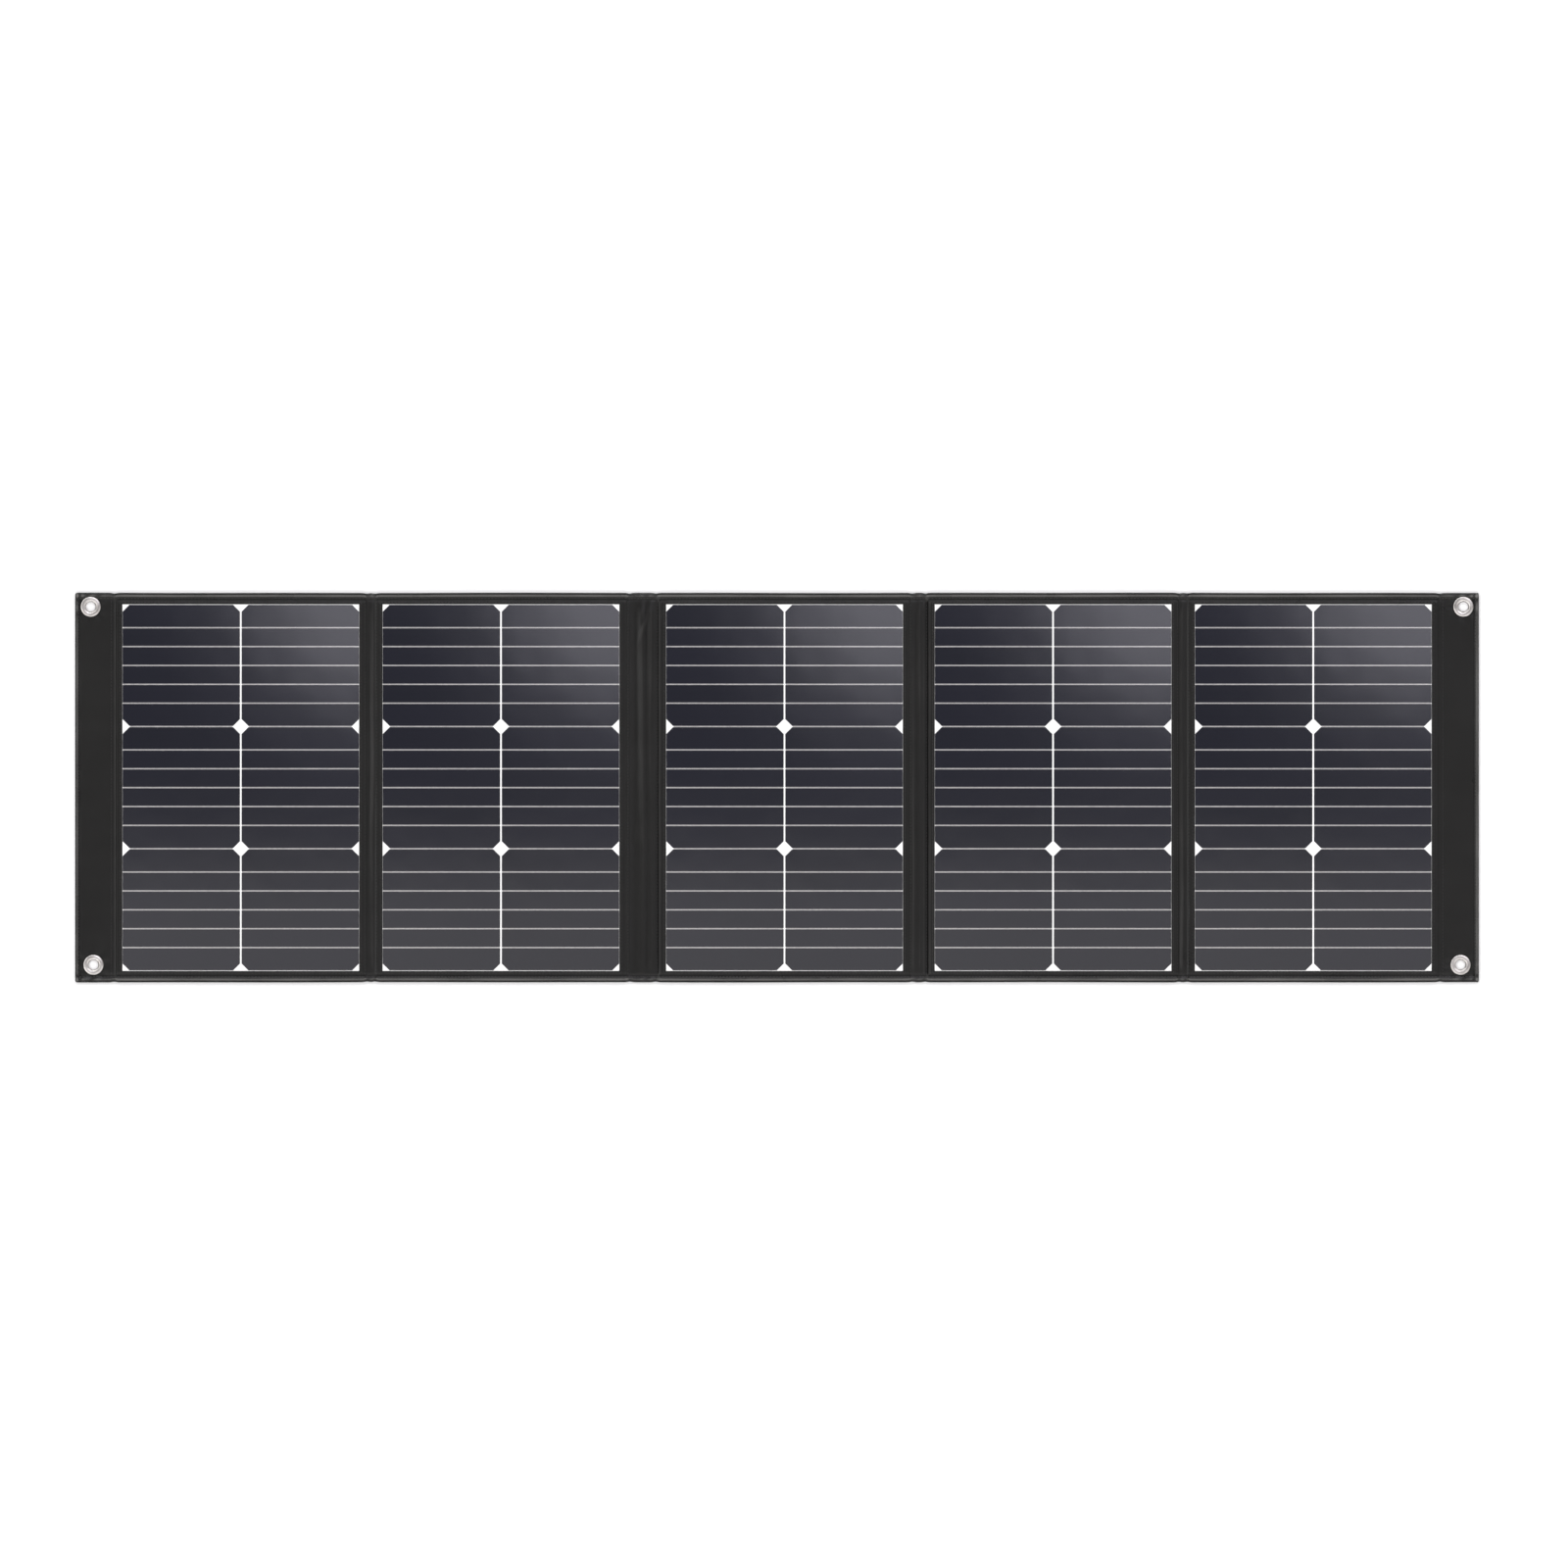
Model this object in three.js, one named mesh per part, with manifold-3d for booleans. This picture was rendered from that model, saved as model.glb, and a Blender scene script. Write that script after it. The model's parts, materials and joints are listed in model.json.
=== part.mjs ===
// Folding solar blanket: five stiff cell panels joined by cloth folds, with an eyelet flap at each end.
// It lies flat with the cells up: +X runs along the row of panels, +Y across it, +Z up.
// The origin is under the blanket's centre, on the surface that it lies on. Millimetres throughout.
import * as THREE from "three";
import { mergeVertices } from "three/addons/utils/BufferGeometryUtils.js";
import Module from "manifold-3d";

const wasm = await Module();
wasm.setup();

// ---- Driving dimensions -------------------------------------------------------------------------

const LENGTH = 1505;
const WIDTH = 418;

// Cells: a 125 mm pseudo-square wafer, sawn across into six strips and laid out again with small gaps.
const CELL = 125;
const CELL_CHAMFER = 7.3;
const CELLS_PER_STRING = 3;
const INNER_STRIP = 19.25;
const INNER_STRIPS = 4;
const OUTER_STRIP = (CELL - INNER_STRIPS * INNER_STRIP) / 2;
const STRIP_GAP = 1.0;
const STRING_GAP = 2.6;
const CELL_MARGIN = 1.2;
const TAB_WIDTH = 20;

// The cloth between the windows of neighbouring panels, from panel 1 (left) to panel 5 (right).
const GAPS = [24, 49, 33, 24];
const PANEL_COUNT = GAPS.length + 1;

// Each fold has two crease lines, this far apart, so that it closes round what lies inside it.
const CREASE_SPANS = [8.5, 28, 14, 8.5];
const FOLD_NAMES = ["12", "23", "34", "45"];
const FLAP_CREASE = 8;

// Layers of a panel, from the back cloth up to the front cloth: [bottom, top].
const BACK_COVER = [0, 0.7];
const PAD = [0.8, 2.4];
const BOARD = [2.5, 3.3];
const CELLS = [3.4, 3.6];
const FILM = [3.7, 4.0];
const FRONT_FRAME = [4.1, 4.8];

// Layers of the cloth between the panels.
const FOLD_BACK_CLOTH = [1.7, 2.2];
const JUMPER = [2.3, 2.5];
const FOLD_FRONT_CLOTH = [2.6, 3.1];
const FLAP_CLOTH = [1.7, 3.1];

const LAMINATE_BORDER = 5;
const HEM = 1.0;
const HEM_TO_PAD = 0.3;
const PANEL_TO_CREASE = 1.2;
const CLOTH_TO_CREASE = 0.3;

const JUMPER_WIDTH = 12;
const JUMPER_Y = -150;

// Eyelets: a flanged barrel from the front and a washer behind, through a hole in the flap.
const EYELET_TOP = [736, 194];
const EYELET_BOTTOM = [733, -190];
const EYELET_RADIUS = 11;
const EYELET_BORE = 5;
const BARREL_RADIUS = 6;
const BARREL_CLEARANCE = 0.3;
const EYELET_Z = [0.9, 3.9];
const FLANGE_THICKNESS = 0.7;
const FLANGE_ROUND = 0.5;
const WASHER_Z = [0.95, 1.6];

// Inside panel 5: a thin bypass diode board, and the gland that an output lead would leave through.
const DIODE_BOARD = { x: 560, y: -160, width: 68, height: 22, z: [0.95, 2.15] };
const POCKET_CLEARANCE = 1.5;
const GLAND = { x: 690, y: -160, flange: 11, neck: 6.5, bore: 2.4, z: [0.05, 0.85, 2.2] };
const GLAND_CLEARANCE = 0.5;

const ARC_STEPS = 12;
const LATHE_STEPS = 24;

// ---- Positions worked out from the dimensions ---------------------------------------------------

const CELL_PITCH = CELL + (INNER_STRIPS + 1) * STRIP_GAP;
const STRING_LENGTH = CELLS_PER_STRING * CELL_PITCH + (CELLS_PER_STRING - 1) * STRIP_GAP;
const WINDOW_X = 2 * CELL + STRING_GAP + 2 * CELL_MARGIN;
const WINDOW_Y = STRING_LENGTH + 2 * CELL_MARGIN;
const GAP_TOTAL = GAPS.reduce((sum, gap) => sum + gap, 0);
const FLAP_WINDOW_EDGE = (PANEL_COUNT * WINDOW_X + GAP_TOTAL) / 2;

// The crease lines beside panel n, and its window's centre.
const panels = [];
let left = -FLAP_WINDOW_EDGE;
for (let n = 0; n < PANEL_COUNT; n++) {
  const right = left + WINDOW_X;
  const before = n === 0 ? FLAP_CREASE : (GAPS[n - 1] - CREASE_SPANS[n - 1]) / 2;
  const after = n === PANEL_COUNT - 1 ? FLAP_CREASE : (GAPS[n] - CREASE_SPANS[n]) / 2;
  panels.push({
    name: `panel_${n + 1}`,
    centre: (left + right) / 2,
    creases: [left - before, right + after],
  });
  left = right + (GAPS[n] ?? 0);
}

// ---- Helpers ------------------------------------------------------------------------------------

const rectangle = (x0, y0, x1, y1) => [
  new THREE.Vector2(x0, y0),
  new THREE.Vector2(x1, y0),
  new THREE.Vector2(x1, y1),
  new THREE.Vector2(x0, y1),
];

const rectangleShape = (x0, y0, x1, y1, ...holes) => {
  const shape = new THREE.Shape(rectangle(x0, y0, x1, y1));
  shape.holes.push(...holes);
  return shape;
};

const rectangleHole = (x0, y0, x1, y1) => new THREE.Path(rectangle(x0, y0, x1, y1));

const circleHole = (x, y, radius) => new THREE.Path().absarc(x, y, radius, 0, 2 * Math.PI, true);

const slab = (shape, [bottom, top]) =>
  new THREE.ExtrudeGeometry(shape, {
    depth: top - bottom,
    bevelEnabled: false,
    curveSegments: ARC_STEPS,
  }).translate(0, 0, bottom);

// A ring turned about an upright axis through (x, y), from a closed profile of [radius, height].
const ring = (profile, x, y) => {
  const points = [...profile, profile[0]].map(([radius, height]) => new THREE.Vector2(radius, height));
  return new THREE.LatheGeometry(points, LATHE_STEPS).rotateX(Math.PI / 2).translate(x, y, 0);
};

const toSolid = (geometry) => {
  const bare = new THREE.BufferGeometry();
  bare.setAttribute("position", geometry.getAttribute("position"));
  bare.setIndex(geometry.index);
  const merged = mergeVertices(bare, 1e-4);
  return new wasm.Manifold(
    new wasm.Mesh({
      numProp: 3,
      vertProperties: merged.getAttribute("position").array,
      triVerts: new Uint32Array(merged.index.array),
    }),
  );
};

const joined = (first, second) => {
  const mesh = toSolid(first).add(toSolid(second)).getMesh();
  const geometry = new THREE.BufferGeometry();
  geometry.setAttribute("position", new THREE.BufferAttribute(mesh.vertProperties, 3));
  geometry.setIndex(new THREE.BufferAttribute(mesh.triVerts, 1));
  geometry.computeVertexNormals();
  return geometry;
};

// ---- Materials ----------------------------------------------------------------------------------

const material = (color, roughness, metalness = 0) =>
  new THREE.MeshStandardMaterial({ color, roughness, metalness });

const cloth = material(0x2f2e2d, 0.9);
const filmPlastic = material(0x3a3a44, 0.2);
filmPlastic.transparent = true;
filmPlastic.opacity = 0.3;
const silicon = material(0x22242c, 0.3);
const whiteBoard = material(0xe8e8e6, 0.6);
const foam = material(0x5a5a58, 0.95);
const copper = material(0xb87333, 0.35, 1);
const nickel = material(0xc8c8c6, 0.25, 1);
const blackPlastic = material(0x1c1c1e, 0.55);

const blanket = new THREE.Group();
blanket.name = "folding_solar_blanket";

const addMesh = (name, geometry, look) => {
  const mesh = new THREE.Mesh(geometry, look);
  mesh.name = name;
  blanket.add(mesh);
};

// ---- Cell strings -------------------------------------------------------------------------------

// The [bottom, top, is the wafer's first strip, is its last] of each strip of a string.
const stripRows = () => {
  const rows = [];
  const heights = [OUTER_STRIP, ...Array(INNER_STRIPS).fill(INNER_STRIP), OUTER_STRIP];
  let y = -STRING_LENGTH / 2;
  for (let cell = 0; cell < CELLS_PER_STRING; cell++) {
    heights.forEach((height, i) => {
      rows.push([y, y + height, i === 0, i === heights.length - 1]);
      y += height + STRIP_GAP;
    });
  }
  return rows;
};

// One side of the string's outline, from the bottom up: chamfered strip ends, stepping in to each tab.
const stringSide = (edge, inward, tab) =>
  stripRows().flatMap(([bottom, top, first, last], i, rows) => {
    const cutIn = edge + inward * CELL_CHAMFER;
    const points = first ? [[cutIn, bottom], [edge, bottom + CELL_CHAMFER]] : [[edge, bottom]];
    points.push(...(last ? [[edge, top - CELL_CHAMFER], [cutIn, top]] : [[edge, top]]));
    if (i < rows.length - 1) points.push([tab, top], [tab, rows[i + 1][0]]);
    return points;
  });

const stringGeometry = (x0, x1) => {
  const middle = (x0 + x1) / 2;
  const rightSide = stringSide(x1, -1, middle + TAB_WIDTH / 2);
  const leftSide = stringSide(x0, 1, middle - TAB_WIDTH / 2).reverse();
  const outline = [...rightSide, ...leftSide].map(([x, y]) => new THREE.Vector2(x, y));
  return slab(new THREE.Shape(outline), CELLS);
};

// ---- Panels -------------------------------------------------------------------------------------

// The front cloth with its window, and the hem that turns down to the back cover all round it.
const frontFrameGeometry = (x0, x1, centre) => {
  const y1 = WIDTH / 2;
  const window = rectangleHole(
    centre - WINDOW_X / 2,
    -WINDOW_Y / 2,
    centre + WINDOW_X / 2,
    WINDOW_Y / 2,
  );
  const face = slab(rectangleShape(x0, -y1, x1, y1, window), FRONT_FRAME);
  const inside = rectangleHole(x0 + HEM, -y1 + HEM, x1 - HEM, y1 - HEM);
  const hem = slab(rectangleShape(x0, -y1, x1, y1, inside), [PAD[0], FRONT_FRAME[1]]);
  return joined(face, hem);
};

const gap = POCKET_CLEARANCE;
const diodePocket = rectangleHole(
  DIODE_BOARD.x - DIODE_BOARD.width / 2 - gap,
  DIODE_BOARD.y - DIODE_BOARD.height / 2 - gap,
  DIODE_BOARD.x + DIODE_BOARD.width / 2 + gap,
  DIODE_BOARD.y + DIODE_BOARD.height / 2 + gap,
);

panels.forEach(({ name, centre, creases }, n) => {
  const x0 = creases[0] + PANEL_TO_CREASE;
  const x1 = creases[1] - PANEL_TO_CREASE;
  const y1 = WIDTH / 2;
  const holdsTheGland = n === PANEL_COUNT - 1;

  const halfX = WINDOW_X / 2 + LAMINATE_BORDER;
  const halfY = WINDOW_Y / 2 + LAMINATE_BORDER;
  const laminate = () => rectangleShape(centre - halfX, -halfY, centre + halfX, halfY);
  addMesh(`${name}_front_frame`, frontFrameGeometry(x0, x1, centre), cloth);
  addMesh(`${name}_film`, slab(laminate(), FILM), filmPlastic);
  const innerEdge = STRING_GAP / 2;
  const leftString = stringGeometry(centre - innerEdge - CELL, centre - innerEdge);
  const rightString = stringGeometry(centre + innerEdge, centre + innerEdge + CELL);
  addMesh(`${name}_cells_left`, leftString, silicon);
  addMesh(`${name}_cells_right`, rightString, silicon);
  addMesh(`${name}_board`, slab(laminate(), BOARD), whiteBoard);

  const inset = HEM + HEM_TO_PAD;
  const glandRoom = circleHole(GLAND.x, GLAND.y, GLAND.flange + GLAND_CLEARANCE);
  const padHoles = holdsTheGland ? [diodePocket, glandRoom] : [];
  const padShape = rectangleShape(x0 + inset, -y1 + inset, x1 - inset, y1 - inset, ...padHoles);
  addMesh(`${name}_pad`, slab(padShape, PAD), foam);

  const neckRoom = circleHole(GLAND.x, GLAND.y, GLAND.neck + GLAND_CLEARANCE);
  const coverHoles = holdsTheGland ? [neckRoom] : [];
  const coverShape = rectangleShape(x0, -y1, x1, y1, ...coverHoles);
  addMesh(`${name}_back_cover`, slab(coverShape, BACK_COVER), cloth);
});

// ---- What panel 5 holds -------------------------------------------------------------------------

const diodeShape = rectangleShape(
  DIODE_BOARD.x - DIODE_BOARD.width / 2,
  DIODE_BOARD.y - DIODE_BOARD.height / 2,
  DIODE_BOARD.x + DIODE_BOARD.width / 2,
  DIODE_BOARD.y + DIODE_BOARD.height / 2,
);
addMesh("bypass_diode_board", slab(diodeShape, DIODE_BOARD.z), blackPlastic);

const [glandBottom, glandStep, glandTop] = GLAND.z;
const glandProfile = [
  [GLAND.bore, glandBottom],
  [GLAND.neck, glandBottom],
  [GLAND.neck, glandStep],
  [GLAND.flange, glandStep],
  [GLAND.flange, glandTop],
  [GLAND.bore, glandTop],
];
addMesh("lead_gland", ring(glandProfile, GLAND.x, GLAND.y), blackPlastic);

// ---- Folds between the panels -------------------------------------------------------------------

FOLD_NAMES.forEach((fold, n) => {
  const x0 = panels[n].creases[1] + CLOTH_TO_CREASE;
  const x1 = panels[n + 1].creases[0] - CLOTH_TO_CREASE;
  const y1 = WIDTH / 2;
  const clothShape = () => rectangleShape(x0, -y1, x1, y1);
  const ribbon = rectangleShape(x0, JUMPER_Y - JUMPER_WIDTH / 2, x1, JUMPER_Y + JUMPER_WIDTH / 2);
  addMesh(`fold_${fold}_front_cloth`, slab(clothShape(), FOLD_FRONT_CLOTH), cloth);
  addMesh(`fold_${fold}_back_cloth`, slab(clothShape(), FOLD_BACK_CLOTH), cloth);
  addMesh(`fold_${fold}_jumper`, slab(ribbon, JUMPER), copper);
});

// ---- End flaps and their eyelets ----------------------------------------------------------------

const holeRadius = BARREL_RADIUS + BARREL_CLEARANCE;
const [eyeletBack, eyeletFront] = EYELET_Z;
const flangeUnderside = eyeletFront - FLANGE_THICKNESS;
const eyeletProfile = [
  [EYELET_BORE, eyeletBack],
  [BARREL_RADIUS, eyeletBack],
  [BARREL_RADIUS, flangeUnderside],
  [EYELET_RADIUS, flangeUnderside],
  [EYELET_RADIUS - FLANGE_ROUND, eyeletFront],
  [EYELET_BORE + FLANGE_ROUND, eyeletFront],
  [EYELET_BORE, eyeletFront - FLANGE_ROUND],
];
const washerProfile = [
  [holeRadius, WASHER_Z[0]],
  [EYELET_RADIUS, WASHER_Z[0]],
  [EYELET_RADIUS, WASHER_Z[1]],
  [holeRadius, WASHER_Z[1]],
];

[["left", -1], ["right", 1]].forEach(([end, side]) => {
  const crease = side * (FLAP_WINDOW_EDGE + FLAP_CREASE);
  const xs = [crease + side * CLOTH_TO_CREASE, (side * LENGTH) / 2].sort((a, b) => a - b);
  const eyelets = [["top", EYELET_TOP], ["bottom", EYELET_BOTTOM]];
  const holes = eyelets.map(([, [x, y]]) => circleHole(side * x, y, holeRadius));
  const flapShape = rectangleShape(xs[0], -WIDTH / 2, xs[1], WIDTH / 2, ...holes);
  addMesh(`flap_${end}_cloth`, slab(flapShape, FLAP_CLOTH), cloth);
  eyelets.forEach(([corner, [x, y]]) => {
    addMesh(`eyelet_${corner}_${end}`, ring(eyeletProfile, side * x, y), nickel);
    addMesh(`washer_${corner}_${end}`, ring(washerProfile, side * x, y), nickel);
  });
});

export default blanket;
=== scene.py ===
"""The looks of the folding solar blanket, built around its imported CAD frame.

Sizes are millimetres, apart from names that end in _M and what goes to Blender or fk, which are metres."""

import json
import math

import bpy
import numpy as np
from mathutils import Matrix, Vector


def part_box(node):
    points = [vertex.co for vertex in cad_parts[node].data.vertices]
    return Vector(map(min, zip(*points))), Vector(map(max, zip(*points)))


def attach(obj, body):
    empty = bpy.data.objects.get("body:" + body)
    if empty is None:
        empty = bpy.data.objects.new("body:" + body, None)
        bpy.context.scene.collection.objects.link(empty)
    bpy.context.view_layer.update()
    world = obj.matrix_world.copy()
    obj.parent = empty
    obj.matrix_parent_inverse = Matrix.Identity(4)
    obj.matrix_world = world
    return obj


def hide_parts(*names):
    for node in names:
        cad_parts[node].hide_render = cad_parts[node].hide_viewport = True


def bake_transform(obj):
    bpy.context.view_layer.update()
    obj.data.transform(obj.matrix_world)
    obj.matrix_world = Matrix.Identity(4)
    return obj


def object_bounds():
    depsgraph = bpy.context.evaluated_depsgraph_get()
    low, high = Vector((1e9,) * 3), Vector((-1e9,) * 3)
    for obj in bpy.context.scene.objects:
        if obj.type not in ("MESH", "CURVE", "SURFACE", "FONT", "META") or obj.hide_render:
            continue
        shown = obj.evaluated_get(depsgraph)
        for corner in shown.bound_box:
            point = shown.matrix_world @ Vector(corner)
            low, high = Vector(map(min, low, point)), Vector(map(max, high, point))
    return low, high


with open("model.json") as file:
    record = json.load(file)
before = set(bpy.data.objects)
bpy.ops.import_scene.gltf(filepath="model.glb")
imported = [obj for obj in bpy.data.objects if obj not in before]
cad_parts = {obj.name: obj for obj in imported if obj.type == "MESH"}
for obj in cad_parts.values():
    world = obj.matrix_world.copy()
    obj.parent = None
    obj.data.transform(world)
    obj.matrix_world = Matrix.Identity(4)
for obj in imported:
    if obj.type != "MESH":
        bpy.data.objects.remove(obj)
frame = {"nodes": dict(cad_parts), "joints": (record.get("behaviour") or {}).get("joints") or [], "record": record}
cad_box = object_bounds()

MM = 0.001
TAU = 2 * math.pi

# ---- Places, from the frame ---------------------------------------------------------------------

HALF_X = cad_box[1].x / MM
HALF_Y = cad_box[1].y / MM
MID_Z = 2.4
# The front cloth covers the outer 5 mm of the laminate, and stops a little inside the CAD window's edge.
LAMINATE_BORDER = 5.0
WINDOW_OVERHANG = 0.55

hinge_x = {j["name"]: j["pos_m"][0] / MM for j in frame["joints"]}
PANELS = (1, 2, 3, 4, 5)
FOLDS = {
    "12": (hinge_x["fold_12_outer"], hinge_x["fold_12_inner"]),
    "23": (hinge_x["fold_23_outer"], hinge_x["fold_23_inner"]),
    "34": (hinge_x["fold_34_inner"], hinge_x["fold_34_outer"]),
    "45": (hinge_x["fold_45_inner"], hinge_x["fold_45_outer"]),
}
CREASES = [hinge_x["flap_left_fold"], *sum(FOLDS.values(), ()), hinge_x["flap_right_fold"]]


def box_mm(node):
    """Left, right, near and far edge of a CAD node in the plan."""
    low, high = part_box(node)
    return low.x / MM, high.x / MM, low.y / MM, high.y / MM


def centre_mm(node):
    x0, x1, y0, y1 = box_mm(node)
    return (x0 + x1) / 2, (y0 + y1) / 2


class Panel:
    """A panel's crease lines, the edges of its laminate and its window, and the window's centre."""

    def __init__(self, n):
        self.n = n
        self.left, self.right = CREASES[2 * n - 2], CREASES[2 * n - 1]
        self.board_left, self.board_right, _, board_top = box_mm(f"panel_{n}_film")
        self.window_left = self.board_left + LAMINATE_BORDER
        self.window_right = self.board_right - LAMINATE_BORDER
        self.window_top = board_top - LAMINATE_BORDER
        self.centre = (self.window_left + self.window_right) / 2


panels = [Panel(n) for n in PANELS]
WINDOW_TOP = panels[0].window_top

# ---- Shape of the cloth -------------------------------------------------------------------------

# Outer faces of the front and back cloth on the panels and between them, and how thick the cloths are.
PANEL_FRONT_Z = 4.55
FOLD_FRONT_Z = 3.2
PANEL_BACK_Z = 0.25
FOLD_BACK_Z = 1.7
CLOTH = 0.5
BACK_CLOTH = 0.45
FRONT_LOWEST_Z = MID_Z + 0.45
FRONT_HIGHEST_Z = 4.98
# The least half gap between the front and back cloths, at the very edge and elsewhere.
HALF_GAP_AT_EDGE = 0.08
HALF_GAP = 0.02
# The binding tape: its width along the long sides and the ends, its thickness, the height of its back
# face, and how far its seams run inside its inner edge.
BINDING = 7.5
END_BINDING = 5.0
BINDING_STEP = 0.12
BINDING_BACK_Z = 0.02
BINDING_FADE = 0.35
SEAM_INSET = 1.3
END_SEAM_INSET = 1.2
# From the cloth's edge at a window to the seam round it, and from a flap's crease to its seam.
WINDOW_SEAM = 2.3
FLAP_SEAM = 3.4
# How far a seam across the blanket stays from the seams along it.
SEAM_MARGIN = 2
EDGE_ROLL = 3.0
CORNER_RADIUS = 2.2
# The rolled hem: distance from the edge, height and half width of its crown, then of the groove behind it.
LONG_HEM = (3.1, 0.43, 1.5, 7.0, -0.68, 1.9)
END_HEM = (2.0, 0.50, 1.1, 5.0, -0.30, 1.1)
# Between the panels the hem's crown is higher, but the whole hem is weaker.
FOLD_CROWN_MORE = 0.35
FOLD_HEM_SHARE = 0.45
# The hem's outline: how far it pinches in at a crease, over what half width, how far it wanders, and how far
# from the edge that reaches.
HEM_NOTCH = 0.7
NOTCH_WIDTH = 3.0
HEM_WANDER = 0.45
HEM_SOFT = (2, 14)
WINDOW_ROLL = 1.6
WINDOW_DROP = 0.45
# How far past its crease a fold's or flap's cloth reaches, and a distance each side of the crease that a flap
# works out but doesn't use.
PIECE_REACH = 6.0
BLEND_REACH = 2.6
# How far outside a crease the cloth starts to rise to the board, or to sink to the pad, and how far inside
# the crease it has sunk. The front cloth stays as loose as between the panels until 2 mm inside.
BOARD_RAMP = 0.4
PAD_RAMP_OUT = 0.8
PAD_RAMP_IN = 2.6
SOFT_RAMP = -2
# Unevenness of the front cloth, the back cloth on the pads and between them, and how much a board leaves.
UNDULATION = 0.14
BACK_UNDULATION = 0.045
BACK_SLACK = 0.175
STIFF_SHARE = 0.25
# A line beside the board's edge shows in the back cloth: its distance from the board, height and half width,
# and how far it reaches past the window.
BOARD_EDGE_LINE = (1.2, 0.18, 0.8, 6)

EYELETS = [
    (side, corner, *centre_mm(f"eyelet_{corner}_{side}"))
    for side in ("left", "right")
    for corner in ("top", "bottom")
]

# Soft folds that run across the blanket between the panels: x, height, half width, wander, phase.
RIDGES = [
    (-434.0, 0.80, 2.3, 0.5, 0.4),
    (-160.2, 0.40, 1.9, 0.4, 1.1),
    (-144.6, 0.90, 3.2, 0.7, 2.3),
    (-136.0, 0.85, 3.2, 0.6, 4.0),
    (-152.6, -0.38, 3.2, 0.5, 0.3),
    (-128.4, -0.45, 1.8, 0.3, 5.1),
    (145.6, 0.75, 2.9, 0.4, 2.9),
    (152.8, 0.65, 2.9, 0.4, 1.9),
    (166.2, 0.25, 1.7, 0.3, 0.8),
    (434.2, 0.80, 2.3, 0.5, 3.3),
]
# One more slants in from a corner of panel 3: a point on it, its lean, and height and half width across it.
SLANT_X, SLANT_Y, SLANT_LEAN = -142.5, 176, 0.28
SLANT_HEIGHT, SLANT_WIDTH = 0.5, 2.2
SLANT_MIDDLE_Y, SLANT_LENGTH = 178, 17
# Sewn seams beside the creases: x, depth, half width. Panel 4's left one is deep and wide.
DEEP_SEAM = (160.6, 1.05, 1.25)
CREASE_TO_SEAM = 1.8
SEAM_DEPTH, SEAM_WIDTH = 0.35, 0.7
SEAMS = [DEEP_SEAM] + [
    (x, SEAM_DEPTH, SEAM_WIDTH)
    for p in panels
    for x in (p.left + CREASE_TO_SEAM, p.right - CREASE_TO_SEAM)
    if abs(x - DEEP_SEAM[0]) > 1
]


def smooth(a, b, x):
    t = np.clip((x - a) / (b - a), 0, 1)
    return t * t * (3 - 2 * t)


def at_least(least, share):
    """A share from 0 to 1, brought into the range from least to 1."""
    return least + (1 - least) * share


def on_panel(x, out, inward):
    """1 on the panels and 0 between them. The ramp runs from out before each crease to inward(panel, side)
    after it."""
    share = np.zeros_like(x)
    for p in panels:
        rise = smooth(p.left - out, p.left + inward(p, "left"), x)
        fall = 1 - smooth(p.right - inward(p, "right"), p.right + out, x)
        share = np.maximum(share, rise * fall)
    return share


def to_board(p, side):
    """From a panel's crease to its board."""
    return p.board_left - p.left if side == "left" else p.right - p.board_right


def to_pad(p, side):
    """From a panel's crease to where its pad is fully under the cloth, which is the same on every side."""
    return PAD_RAMP_IN


WAVES = np.random.default_rng(7).uniform(size=(14, 4))
SHORTEST_WAVE = 26
WAVE_SPREAD = 70
WAVE_HEIGHT = 0.28


def undulation(x, y):
    """Slow unevenness of cloth that nothing stretches, from -1 to 1 or so."""
    total = np.zeros_like(x)
    for a, b, c, d in WAVES:
        length = SHORTEST_WAVE + WAVE_SPREAD * a
        turn = math.pi * b
        along = x * math.cos(turn) + y * math.sin(turn)
        total += np.sin(TAU * (along / length + c)) * at_least(0.5, d) * WAVE_HEIGHT
    return total


def edge_distances(x, y):
    """How far inside the long edges and the ends a point is."""
    return HALF_Y - np.abs(y), HALF_X - np.abs(x)


def binding_share(x, y):
    """1 on the binding tape and 0 elsewhere."""
    from_long, from_end = edge_distances(x, y)
    long_edge = 1 - smooth(BINDING - BINDING_FADE, BINDING + BINDING_FADE, from_long)
    end_edge = 1 - smooth(END_BINDING - BINDING_FADE, END_BINDING + BINDING_FADE, from_end)
    return np.maximum(long_edge, end_edge)


def edge_roll(x, y):
    """How much of its height a cloth still has near the outer edge, where it rolls round to the back."""
    shares = [1 - np.clip(d / EDGE_ROLL, 0, 1) for d in edge_distances(x, y)]
    return np.sqrt(np.clip(1 - shares[0] ** 2, 0, 1) * np.clip(1 - shares[1] ** 2, 0, 1))


def hem_profile(distance, profile, crown_more=0.0):
    """The rolled hem's crown and the groove behind it, by the distance from the edge."""
    crown_at, crown, crown_width, groove_at, groove, groove_width = profile
    rise = (crown + crown_more) * np.exp(-(((distance - crown_at) / crown_width) ** 2))
    return rise + groove * np.exp(-(((distance - groove_at) / groove_width) ** 2))


def window_distance(x, y):
    """How far outside the nearest window a point is; 0 inside one."""
    best = np.full_like(x, 1e3)
    for p in panels:
        dx = np.maximum(p.window_left + WINDOW_OVERHANG - x, x - p.window_right + WINDOW_OVERHANG)
        dy = np.abs(y) - (WINDOW_TOP - WINDOW_OVERHANG)
        best = np.minimum(best, np.hypot(np.maximum(dx, 0), np.maximum(dy, 0)))
    return best


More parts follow.
